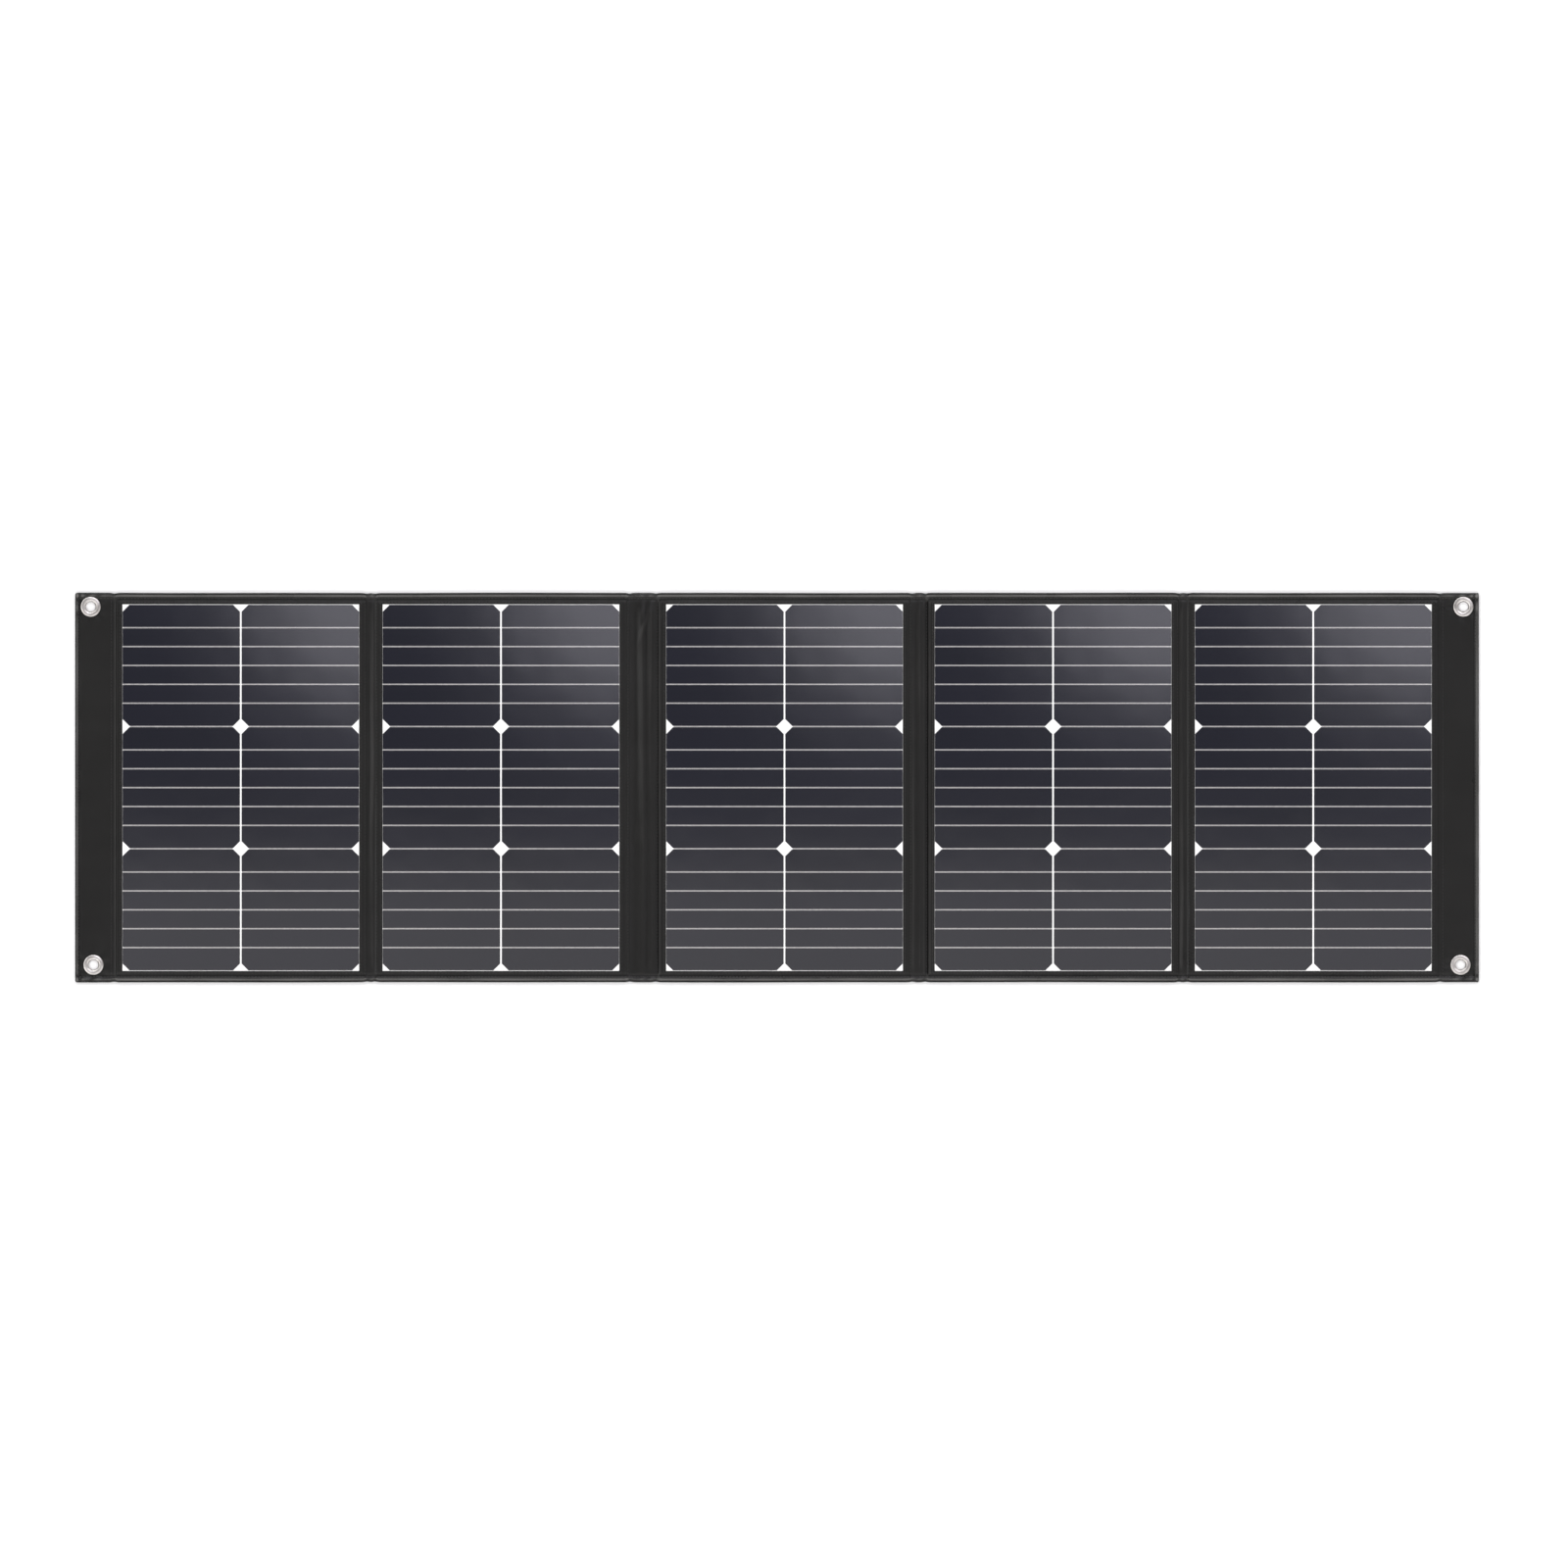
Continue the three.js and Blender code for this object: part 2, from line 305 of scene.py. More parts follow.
def wrinkles(x, y):
    """The soft folds between the panels, and one that slants in from a corner of panel 3."""
    total = np.zeros_like(x)
    calm = smooth(BINDING, BINDING + 16, HALF_Y - np.abs(y))
    for at, height, width, wander, phase in RIDGES:
        centre = at + wander * np.sin(y / 61 + phase) + 0.4 * wander * np.sin(y / 23 + 2 * phase)
        fade = 0.75 + 0.25 * np.sin(y / 83 + 3 * phase)
        total += height * fade * np.exp(-(((x - centre) / width) ** 2))
    slanted = x - SLANT_X - (y - SLANT_Y) * SLANT_LEAN
    along = (y - SLANT_MIDDLE_Y) / SLANT_LENGTH
    total += SLANT_HEIGHT * np.exp(-((slanted / SLANT_WIDTH) ** 2) - along**2)
    return total * at_least(0.25, calm)


def seams(x, y):
    """The sewn seams beside the creases, which pull the cloth down."""
    total = np.zeros_like(x)
    inside = smooth(0, 3, HALF_Y - BINDING - np.abs(y))
    for at, depth, width in SEAMS:
        total -= depth * inside * np.exp(-(((x - at) / width) ** 2))
    return total


def eyelet_dents(x, y):
    """The cloth is pinched flat under each eyelet, with short puckers round it."""
    total = np.zeros_like(x)
    for _, _, ex, ey in EYELETS:
        r = np.hypot(x - ex, y - ey)
        turn = np.arctan2(y - ey, x - ex)
        total -= 0.22 * np.exp(-((r / 14) ** 4))
        total += 0.16 * np.exp(-(((r - 15) / 4.5) ** 2)) * np.sin(7 * turn + ex * 0.02)
    return total


def stitch_pull(x, y):
    """Puckers beside the seam of the binding and round the windows."""
    from_long, _ = edge_distances(x, y)
    along = np.sin(x / 1.9) * 0.4 + np.sin(x / 3.1 + 1) * 0.35 + np.sin(x / 5.3 + 2) * 0.4
    return 0.07 * along * np.exp(-(((from_long - BINDING - 1.6) / 1.8) ** 2))


def front_relief(x, y):
    """The front cloth's own folds, seams, puckers and hems, without the step up to the panels."""
    from_long, from_end = edge_distances(x, y)
    board = on_panel(x, BOARD_RAMP, to_board)
    z = wrinkles(x, y) + seams(x, y) + stitch_pull(x, y) + eyelet_dents(x, y)
    crown_more = FOLD_CROWN_MORE * (1 - board)
    z = z + hem_profile(from_long, LONG_HEM, crown_more) * at_least(FOLD_HEM_SHARE, board)
    return z + hem_profile(from_end, END_HEM)


def front(x, y):
    """Height of the front cloth's outer face."""
    board = on_panel(x, BOARD_RAMP, to_board)
    soft = 1 - on_panel(x, SOFT_RAMP, to_board)
    z = FOLD_FRONT_Z + (PANEL_FRONT_Z - FOLD_FRONT_Z) * board
    z = z + front_relief(x, y) + UNDULATION * undulation(x, y) * at_least(STIFF_SHARE, soft)
    away = window_distance(x, y)
    inner = np.clip(1 - away / WINDOW_ROLL, 0, 1)
    z = z - WINDOW_DROP * (1 - np.sqrt(1 - inner**2))
    z = z + BINDING_STEP * binding_share(x, y)
    z = np.clip(z, FRONT_LOWEST_Z, FRONT_HIGHEST_Z)
    return MID_Z + HALF_GAP_AT_EDGE + (z - MID_Z - HALF_GAP_AT_EDGE) * edge_roll(x, y)


def front_under(x, y):
    return np.maximum(front(x, y) - CLOTH, MID_Z + HALF_GAP)


def back_relief(x, y):
    """The back cloth's slow unevenness, counted outwards, which is down."""
    return -0.06 * undulation(x, -y)


def back(x, y):
    """Height of the back cloth's outer face, which lies on the ground under the panels."""
    pad = on_panel(x, PAD_RAMP_OUT, to_pad)
    z = FOLD_BACK_Z + (PANEL_BACK_Z - FOLD_BACK_Z) * pad
    z = z + BACK_SLACK * (0.5 + 0.5 * undulation(x, -y)) * (1 - pad)
    z = z + BACK_UNDULATION * (1 + np.tanh(undulation(x + 40, y))) * pad
    outside, height, width, reach = BOARD_EDGE_LINE
    for p in panels:
        for at in (p.board_left - outside, p.board_right + outside):
            z = z + height * np.exp(-(((x - at) / width) ** 2)) * (np.abs(y) < WINDOW_TOP + reach)
    z = z - (PANEL_BACK_Z - BINDING_BACK_Z) * binding_share(x, y)
    return MID_Z - HALF_GAP_AT_EDGE - (MID_Z - HALF_GAP_AT_EDGE - z) * edge_roll(x, y)


def back_under(x, y):
    """Height of the back cloth's inner face."""
    return np.minimum(back(x, y) + BACK_CLOTH, MID_Z - HALF_GAP)


# ---- Mesh helpers -------------------------------------------------------------------------------


def link(name, mesh, material):
    obj = bpy.data.objects.new(name, mesh)
    bpy.context.scene.collection.objects.link(obj)
    mesh.materials.append(material)
    return obj


# Reach and gain of the painted shade in the cloth's hollows and the painted highlight on its crests.
CREST_REACH = 3.2
CREST_GAIN = 0.95


def painted_light_share(relief, x, y):
    """0 in the hollows of a face, which get painted shade, 0.5 where it is even, and 1 on its crests, which get a
    painted highlight.
    """
    r = CREST_REACH
    beside = relief(x + r, y) + relief(x - r, y) + relief(x, y + r) + relief(x, y - r)
    around = beside / 4
    return np.clip(0.5 + CREST_GAIN * (relief(x, y) - around), 0, 1)


def make_mesh(name, points, faces, uv=None, flat=False):
    """uv gives each point's place in the pattern, in metres. By default that is its place in the plan."""
    mesh = bpy.data.meshes.new(name)
    points = np.asarray(points, float)
    mesh.from_pydata((points * MM).tolist(), [], [list(map(int, f)) for f in faces])
    mesh.update()
    place = points[:, :2] * MM if uv is None else np.asarray(uv)
    corner = np.zeros(len(mesh.loops), np.int32)
    mesh.loops.foreach_get("vertex_index", corner)
    layer = mesh.uv_layers.new(name="UVMap")
    layer.data.foreach_set("uv", place[corner].astype(np.float32).ravel())
    mesh.polygons.foreach_set("use_smooth", [not flat] * len(mesh.polygons))
    return mesh


SLOPE_STEP = 0.08


def slope_normals(height, x, y, sign):
    """Smooth normals from a height function's slopes. sign is 1 for an upper face and -1 for a lower one."""
    h = SLOPE_STEP
    dx = (height(x + h, y) - height(x - h, y)) / (2 * h)
    dy = (height(x, y + h) - height(x, y - h)) / (2 * h)
    n = np.stack([-dx * sign, -dy * sign, np.full_like(x, sign)], axis=-1)
    return n / np.linalg.norm(n, axis=-1, keepdims=True)


def plan_shape(x, y):
    """Rounds the square outer corners, and lets the hem wander a little and pinch in at each crease."""
    r = CORNER_RADIUS
    u = np.clip((np.abs(x) - HALF_X + r) / r, 0, 1)
    v = np.clip((np.abs(y) - HALF_Y + r) / r, 0, 1)
    notch = sum(np.exp(-(((x - at) / NOTCH_WIDTH) ** 2)) for at in CREASES)
    wander = HEM_WANDER * (0.5 + 0.25 * np.sin(x / 37) + 0.25 * np.sin(x / 91 + np.sign(y)))
    drawn_in = 1 - smooth(*HEM_SOFT, HALF_Y - np.abs(y))
    y = y - np.sign(y) * drawn_in * (wander + HEM_NOTCH * notch)
    both = (u > 0) & (v > 0)
    nx = np.sign(x) * (HALF_X - r + r * u * np.sqrt(1 - v * v / 2))
    ny = np.sign(y) * (HALF_Y - r + r * v * np.sqrt(1 - u * u / 2))
    return np.where(both, nx, x), np.where(both, ny, y)


def closed_sheet(name, xs, ys, top, under, side, keep=None):
    """A closed cloth between two height functions, on a grid of x and y lines.

    side is 1 if its top is its outer face and -1 if its underside is. keep(x, y) says which cells stay."""
    gx, gy = np.meshgrid(xs, ys)
    rows, columns = gx.shape
    cx, cy = (gx[:-1, :-1] + gx[1:, 1:]) / 2, (gy[:-1, :-1] + gy[1:, 1:]) / 2
    kept = np.ones(cx.shape, bool) if keep is None else keep(cx, cy)
    index = np.arange(rows * columns).reshape(rows, columns)
    low_left, low_right = index[:-1, :-1], index[:-1, 1:]
    high_left, high_right = index[1:, :-1], index[1:, 1:]
    count = rows * columns
    upper = np.stack([low_left, low_right, high_right, high_left], -1)[kept]
    lower = upper[:, ::-1] + count
    padded = np.pad(kept, 1)
    sides = (
        (low_left, low_right, padded[:-2, 1:-1]),
        (low_right, high_right, padded[1:-1, 2:]),
        (high_right, high_left, padded[2:, 1:-1]),
        (high_left, low_left, padded[1:-1, :-2]),
    )
    walls = []
    for a, b, neighbour in sides:
        rim = kept & ~neighbour
        walls.append(np.stack([b, a, a + count, b + count], -1)[rim])
    faces = np.concatenate([upper, lower, *walls])
    x, y = gx.ravel(), gy.ravel()
    px, py = plan_shape(x, y)
    points = np.concatenate(
        [np.stack([px, py, top(x, y)], -1), np.stack([px, py, under(x, y)], -1)]
    )
    used, inverse = np.unique(faces, return_inverse=True)
    faces = inverse.reshape(-1, 4)
    uv = np.concatenate([np.stack([x, y], -1)] * 2) * MM
    mesh = make_mesh(name, points[used], faces, uv[used])
    # Painted shade in the cloth's hollows and painted highlight on its crests, kept on each point for the cloth's
    # colour.
    painted_light = np.tile(painted_light_share(front_relief if side > 0 else back_relief, x, y), 2)[used]
    mesh.attributes.new("painted_light_share", "FLOAT", "POINT").data.foreach_set("value", painted_light.astype(np.float32))
    up = slope_normals(top, x, y, 1)
    down = slope_normals(under, x, y, -1)
    smooth_normals = np.concatenate([up, down])[used]
    corner_normals = smooth_normals[faces.ravel()]
    walls_from = (len(upper) + len(lower)) * 4
    flat_normals = np.zeros(len(mesh.polygons) * 3)
    mesh.polygons.foreach_get("normal", flat_normals)
    flat_normals = np.repeat(flat_normals.reshape(-1, 3), 4, axis=0)
    corner_normals[walls_from:] = flat_normals[walls_from:]
    mesh.normals_split_custom_set(corner_normals.tolist())
    return mesh


CLOSEST_LINES = 0.04


def lines(*stops):
    """Grid lines: (start, end, step) stretches and single places, sorted, with near doubles removed."""
    made = []
    for stop in stops:
        if isinstance(stop, tuple):
            start, end, step = stop
            made += list(np.linspace(start, end, max(2, round(abs(end - start) / step) + 1)))
        else:
            made.append(stop)
    made = sorted(made)
    return np.array([v for i, v in enumerate(made) if i == 0 or v - made[i - 1] > CLOSEST_LINES])


# Grid lines from an outer edge inwards, close enough to follow the roll and the hem.
EDGE_OFFSETS = [0, 0.12, 0.35, 0.7, 1.15, 1.7, 2.3, 3.0, 3.6]
# Grid lines about the binding's inner edge, counted outwards, and from a window's rim outwards.
BINDING_OFFSETS = [2.4, 1.2, 0.35, 0, -0.35, -0.8, -1.4, -2.2, -3.2]
WINDOW_OFFSETS = [0, 0.1, 0.35, 0.7, 1.1, 1.6]


def y_lines(step, around_window=True):
    """Grid lines across the blanket: fine at the hems and the window's rim, and step apart elsewhere."""
    edge = [HALF_Y - d for d in EDGE_OFFSETS]
    bind = [HALF_Y - BINDING + d for d in BINDING_OFFSETS]
    rim = WINDOW_TOP - WINDOW_OVERHANG
    window = [rim + d for d in WINDOW_OFFSETS] if around_window else []
    side = edge + bind + window
    return lines(*side, *[-v for v in side], (-rim, rim, step))


def signed_area(loop):
    x, y = loop[:, 0], loop[:, 1]
    return float(np.sum(x * np.roll(y, -1) - np.roll(x, -1) * y)) / 2


RING_STEPS = 96
RING_SMOOTHING = 4


def profile_ring(name, profile, x, y):
    """A ring turned about the upright axis through (x, y), from a closed loop of (radius, height) that a
    smooth curve is run through."""
    loop = np.array(profile, float)
    fine = []
    for i in range(len(loop)):
        p0, p1, p2, p3 = (loop[(i + k) % len(loop)] for k in (-1, 0, 1, 2))
        for t in np.arange(RING_SMOOTHING) / RING_SMOOTHING:
            a = 2 * p1 + (p2 - p0) * t
            b = (2 * p0 - 5 * p1 + 4 * p2 - p3) * t**2 + (3 * p1 - p0 - 3 * p2 + p3) * t**3
            fine.append((a + b) / 2)
    fine = np.array(fine)
    steps = RING_STEPS
    turns = np.arange(steps) * TAU / steps
    r, z = fine[:, 0], fine[:, 1]
    points = np.stack(
        [
            x + np.outer(np.cos(turns), r),
            y + np.outer(np.sin(turns), r),
            np.tile(z, (steps, 1)),
        ],
        -1,
    ).reshape(-1, 3)
    n = len(fine)
    faces = [
        (i * n + j, (i + 1) % steps * n + j, (i + 1) % steps * n + (j + 1) % n, i * n + (j + 1) % n)
        for i in range(steps)
        for j in range(n)
    ]
    if signed_area(fine) < 0:
        faces = [f[::-1] for f in faces]
    return make_mesh(name, points, faces)


# ---- Stitches -----------------------------------------------------------------------------------

STITCH_PITCH = 3.6
STITCH_LENGTH = 2.7
THREAD_RADIUS = 0.24
STITCH_SIDES = 6


def stitch_template():
    """One stitch along +X: a thread that dives into the cloth at both ends."""
    stations = np.array([-0.5, -0.44, -0.25, 0, 0.25, 0.44, 0.5])
    heights = np.array([-0.30, -0.05, 0.10, 0.14, 0.10, -0.05, -0.30])
    radii = THREAD_RADIUS * np.array([0.45, 0.85, 1, 1, 1, 0.85, 0.45])
    turns = np.arange(STITCH_SIDES) * TAU / STITCH_SIDES
    points = [
        (s * STITCH_LENGTH, r * math.cos(a), h + r * math.sin(a))
        for s, h, r in zip(stations, heights, radii)
        for a in turns
    ]
    k = STITCH_SIDES
    faces = [
        (i * k + j, i * k + (j + 1) % k, (i + 1) * k + (j + 1) % k, (i + 1) * k + j)
        for i in range(len(stations) - 1)
        for j in range(k)
    ]
    faces = [f[::-1] for f in faces]
    ends = [tuple(range(k)), tuple(range(len(points) - 1, len(points) - 1 - k, -1))]
    return np.array(points), faces, ends


STITCH_POINTS, STITCH_FACES, STITCH_ENDS = stitch_template()


def stitch_run(start, end):
    """The middles and direction of the stitches along a straight seam in the plan."""
    start, end = np.array(start, float), np.array(end, float)
    length = np.linalg.norm(end - start)
    count = max(1, round(length / STITCH_PITCH))
    shares = (np.arange(count) + 0.5) / count
    return start + shares[:, None] * (end - start), (end - start) / length


def stitch_mesh(name, runs, height, side):
    """Stitches along every run, laid on the height function's face: side 1 is the front, -1 the back."""
    points, faces = [], []
    for start, end in runs:
        middles, along = stitch_run(start, end)
        across = np.array([-along[1], along[0]]) * side
        for middle in middles:
            base = len(points) * len(STITCH_POINTS)
            plan = middle + np.outer(STITCH_POINTS[:, 0], along) + np.outer(STITCH_POINTS[:, 1], across)
            z = height(np.array([middle[0]]), np.array([middle[1]]))[0] + side * STITCH_POINTS[:, 2]
            points.append(np.column_stack([plan, z]))
            faces += [tuple(v + base for v in f) for f in STITCH_FACES + STITCH_ENDS]
    return make_mesh(name, np.concatenate(points), faces)


# ---- Materials ----------------------------------------------------------------------------------


class Nodes:
    """A small writer for a material's node tree around its Principled shader."""

    def __init__(self, name, **constants):
        self.material = bpy.data.materials.new(name)
        self.material.use_nodes = True
        self.tree = self.material.node_tree
        self.shader = self.tree.nodes["Principled BSDF"]
        for key, value in constants.items():
            self.shader.inputs[key.replace("_", " ")].default_value = value

    def add(self, kind, links=(), **settings):
        made = self.tree.nodes.new(kind)
        for key, value in settings.items():
            setattr(made, key, value)
        for socket, source in links:
            self.tree.links.new(source, made.inputs[socket])
        return made

    def math(self, operation, a, b=0.0, c=0.0):
        made = self.tree.nodes.new("ShaderNodeMath")
        made.operation = operation
        for i, value in enumerate((a, b, c)):
            if isinstance(value, (int, float)):
                made.inputs[i].default_value = value
            else:
                self.tree.links.new(value, made.inputs[i])
        return made.outputs[0]

    def place(self):
        uv = self.add("ShaderNodeUVMap", uv_map="UVMap")
        parts = self.add("ShaderNodeSeparateXYZ", [(0, uv.outputs[0])])
        return uv.outputs[0], parts.outputs[0], parts.outputs[1]

    def noise(self, vector, scale, detail, roughness=0.5):
        made = self.add("ShaderNodeTexNoise", [("Vector", vector)], noise_dimensions="3D")
        made.inputs["Scale"].default_value = scale
        made.inputs["Detail"].default_value = detail
        made.inputs["Roughness"].default_value = roughness
        return made.outputs["Fac"]

    def ramp(self, factor, *stops):
        made = self.add("ShaderNodeValToRGB", [("Fac", factor)])
        elements = made.color_ramp.elements
        while len(elements) < len(stops):
            elements.new(0.5)
        for element, (position, colour) in zip(elements, stops):
            element.position = position
            element.color = (*colour, 1)
        return made.outputs["Color"]

    def bump(self, height, distance_m, strength=1.0):
        made = self.add("ShaderNodeBump", [("Height", height)])
        made.inputs["Distance"].default_value = distance_m
        made.inputs["Strength"].default_value = strength
        return made.outputs["Normal"]

    def drive(self, socket, source):
        self.tree.links.new(source, self.shader.inputs[socket])


WEAVE_M = 0.00085


def cloth_material(name, hollow_shade, even, painted_light, roughness, specular):
    """Coated basket weave: warp and weft threads in turn on top, and a tone with a painted highlight on the
    crests of the cloth and painted shade in its hollows."""
    m = Nodes(name, Specular_IOR_Level=specular)
    uv, x, y = m.place()
    warp = m.math("ABSOLUTE", m.math("SINE", m.math("MULTIPLY", x, math.pi / WEAVE_M)))
    weft = m.math("ABSOLUTE", m.math("SINE", m.math("MULTIPLY", y, math.pi / WEAVE_M)))
    checker = m.add("ShaderNodeTexChecker", [("Vector", uv)])
    checker.inputs["Scale"].default_value = 1 / WEAVE_M
    over = checker.outputs["Fac"]
    under = m.math("SUBTRACT", 1.0, over)
    threads = m.math("ADD", m.math("MULTIPLY", warp, over), m.math("MULTIPLY", weft, under))
    slow = m.noise(uv, scale=14.0, detail=3.0)
    fine = m.noise(uv, scale=900.0, detail=2.0)
    # The painted light share: painted shade in the hollows and painted highlight on the crests.
    height = m.add("ShaderNodeAttribute", attribute_name="painted_light_share").outputs["Fac"]
    tone = m.math("MULTIPLY_ADD", threads, 0.10, height)
    tone = m.math("MULTIPLY_ADD", m.math("SUBTRACT", slow, 0.5), 0.30, tone)
    tone = m.math("MULTIPLY_ADD", m.math("SUBTRACT", fine, 0.5), 0.20, tone)
    # The ramp paints the hollows dark as shade and the crests pale as a highlight.
    colour = m.ramp(tone, (0.12, hollow_shade), (0.5, even), (0.68, even), (1.0, painted_light))
    m.drive("Base Color", colour)
    m.drive("Roughness", m.math("MULTIPLY_ADD", slow, 0.10, roughness - 0.05))
    relief = m.math("MULTIPLY_ADD", fine, 0.35, threads)
    m.drive("Normal", m.bump(relief, distance_m=0.000018, strength=0.8))
    return m.material


# How strongly the laminates are bowed along X and Y, in 1/m.
BOW_X = 0.72
BOW_Y = 0.74
UNEVEN_M = 0.00035
# The film over cells, ribbons and laminate alike.
FILM = dict(Coat_Weight=1.0, Coat_Roughness=0.25, Coat_IOR=1.5)


def bowed_gloss(m, x, y, uv):
    """Normals of a glossy film that is bowed a little over each panel, and faintly uneven."""
    bow_x = m.math("MULTIPLY", m.math("MULTIPLY", x, x), -BOW_X / 2)
    bow_y = m.math("MULTIPLY", m.math("MULTIPLY", y, y), -BOW_Y / 2)
    uneven = m.math("MULTIPLY", m.noise(uv, scale=22.0, detail=1.0), UNEVEN_M)
    height = m.math("ADD", m.math("ADD", bow_x, bow_y), uneven)
    normal = m.bump(height, distance_m=1.0)
    m.drive("Normal", normal)
    m.drive("Coat Normal", normal)


def silicon_material():
    m = Nodes("silicon", Roughness=0.42, Specular_IOR_Level=0.08, **FILM)
    uv, x, y = m.place()
    tint = m.add("ShaderNodeAttribute", attribute_name="tint").outputs["Fac"]
    cloud = m.noise(uv, scale=35.0, detail=3.0)
    tone = m.math("MULTIPLY_ADD", cloud, 0.4, m.math("MULTIPLY", tint, 0.6))
    blue, paler = (0.0022, 0.0028, 0.0090), (0.0042, 0.0046, 0.0125)
    m.drive("Base Color", m.ramp(tone, (0.1, blue), (0.9, paler)))
    bowed_gloss(m, x, y, uv)
    return m.material


def laminate_material():
    m = Nodes("white_backsheet", Roughness=0.5, **FILM)
    uv, x, y = m.place()
    cloud = m.noise(uv, scale=60.0, detail=2.0)
    m.drive("Base Color", m.ramp(cloud, (0.3, (0.93, 0.925, 0.915)), (0.7, (0.96, 0.955, 0.95))))
    bowed_gloss(m, x, y, uv)
    return m.material


def ribbon_material():
    m = Nodes("tinned_ribbon", Metallic=0.35, **FILM)
    uv, x, y = m.place()
    grain = m.noise(uv, scale=420.0, detail=2.0)
    m.drive("Base Color", m.ramp(grain, (0.3, (0.34, 0.33, 0.33)), (0.7, (0.46, 0.445, 0.44))))
    m.drive("Roughness", m.math("MULTIPLY_ADD", grain, 0.2, 0.35))
    bowed_gloss(m, x, y, uv)
    return m.material


def nickel_material():
    m = Nodes("nickel_plate", Metallic=1.0)
    coordinates = m.add("ShaderNodeTexCoord").outputs["Object"]
    grain = m.noise(coordinates, scale=1400.0, detail=3.0, roughness=0.65)
    blotch = m.noise(coordinates, scale=160.0, detail=2.0)
    m.drive("Base Color", m.ramp(blotch, (0.3, (0.50, 0.472, 0.455)), (0.7, (0.64, 0.615, 0.60))))
    m.drive("Roughness", m.math("MULTIPLY_ADD", blotch, 0.12, 0.25))
    m.drive("Normal", m.bump(grain, distance_m=0.00002, strength=0.6))
    return m.material


def grained_material(name, dark, light, scale, bump_m, **constants):
    """A moulded, felted or drawn surface: a grain of two tones with its own relief."""
    m = Nodes(name, **constants)
    coordinates = m.add("ShaderNodeTexCoord").outputs["Object"]
    grain = m.noise(coordinates, scale, detail=4.0, roughness=0.6)
    m.drive("Base Color", m.ramp(grain, (0.3, dark), (0.7, light)))
    m.drive("Normal", m.bump(grain, bump_m, strength=0.6))
    return m.material


# Each cloth's colours: painted shade in the hollows, its own even tone, then a painted highlight on the crests,
# strongest on the binding's hem.
PAINTED_HOLLOW_SHADE = (0.0006, 0.0006, 0.0006)
cloth = cloth_material(
    "oxford_cloth", PAINTED_HOLLOW_SHADE, (0.0108, 0.0105, 0.0101), (0.034, 0.033, 0.032), 0.29, 0.25
)
binding_cloth = cloth_material(
    "binding_tape", PAINTED_HOLLOW_SHADE, (0.0120, 0.0116, 0.0112), (0.138, 0.134, 0.129), 0.28, 0.27
)
silicon = silicon_material()
backsheet = laminate_material()
ribbon = ribbon_material()
nickel = nickel_material()
thread = grained_material(
    "thread", (0.012, 0.012, 0.012), (0.03, 0.03, 0.029), 2500.0, 0.00003, Roughness=0.55
)
felt = grained_material("felt", (0.08, 0.08, 0.08), (0.16, 0.16, 0.155), 900.0, 0.0002, Roughness=0.95)
board = grained_material("board", (0.72, 0.71, 0.69), (0.84, 0.83, 0.81), 500.0, 0.00003, Roughness=0.6)
copper = grained_material(
    "copper", (0.70, 0.40, 0.27), (0.80, 0.52, 0.38), 700.0, 0.00001, Metallic=1.0, Roughness=0.35
)
plastic = grained_material(
    "plastic", (0.014, 0.014, 0.015), (0.024, 0.024, 0.025), 1600.0, 0.00003, Roughness=0.5
)

# ---- Camera, lights and floor -------------------------------------------------------------------

VIEW_WIDTH_M = 1.6815
LENS = 1000.0
SENSOR = 36.0
AIM_M = (0.0075, 0.0039)
CAMERA_M = VIEW_WIDTH_M * LENS / SENSOR

camera_data = bpy.data.cameras.new("camera")
camera_data.lens = LENS
camera_data.sensor_width = SENSOR
camera_data.clip_start = 0.1
camera_data.clip_end = 200
camera = bpy.data.objects.new("camera", camera_data)
camera.location = (*AIM_M, CAMERA_M)
bpy.context.scene.collection.objects.link(camera)
bpy.context.scene.camera = camera


LIGHT_M = 80.0
WORLD_STRENGTH = 0.085


def softbox(name, azimuth, tilt, half_across, half_up, radiance, colour=(1, 1, 1), shape="RECTANGLE"):
    """A soft light so far off that every panel sees it alike.

    Angles are degrees: azimuth is counted from +X, tilt from straight above, and the two halves are how far
    the light reaches to each side of its middle."""
    data = bpy.data.lights.new(name, "AREA")
    data.shape = shape
    data.size = 2 * LIGHT_M * math.tan(math.radians(half_across))
    data.size_y = 2 * LIGHT_M * math.tan(math.radians(half_up))
    area = data.size * data.size_y * (math.pi / 4 if shape == "ELLIPSE" else 1)
    data.energy = radiance * math.pi * area
    data.color = colour
    light = bpy.data.objects.new(name, data)
    a, t = math.radians(azimuth), math.radians(tilt)
    away = Vector((math.cos(a) * math.sin(t), math.sin(a) * math.sin(t), math.cos(t)))
    light.location = away * LIGHT_M
    light.rotation_euler = away.to_track_quat("Z", "Y").to_euler()
    light.visible_camera = False
    bpy.context.scene.collection.objects.link(light)


# Each light's name, azimuth, tilt, two halves, radiance, and where given its colour and shape.
# Two softboxes near the zenith are mirrored by the bowed laminates, in the lower rows and in a corner.
softbox("front_softbox", -90, 16.5, 44, 9.8, 1.5, (1, 0.972, 0.962))
softbox("corner_softbox", 59, 23.2, 11.5, 11.5, 4.05, (0.937, 0.92, 1), "ELLIPSE")
# Four long low ones light the floor and draw the ridges and hems of the cloth.
softbox("rear_strip", 90, 47, 40, 7, 4.6)
softbox("front_strip", -90, 50, 40, 7, 4.2)
softbox("left_strip", 180, 37, 34, 7, 3.0)
softbox("right_strip", 0, 60, 34, 9, 1.4)

world = bpy.data.worlds.new("studio")
bpy.context.scene.world = world
world.use_nodes = True
background = world.node_tree.nodes["Background"]
background.inputs["Color"].default_value = (1, 1, 1, 1)
background.inputs["Strength"].default_value = WORLD_STRENGTH
bpy.context.scene.view_settings.view_transform = "Standard"

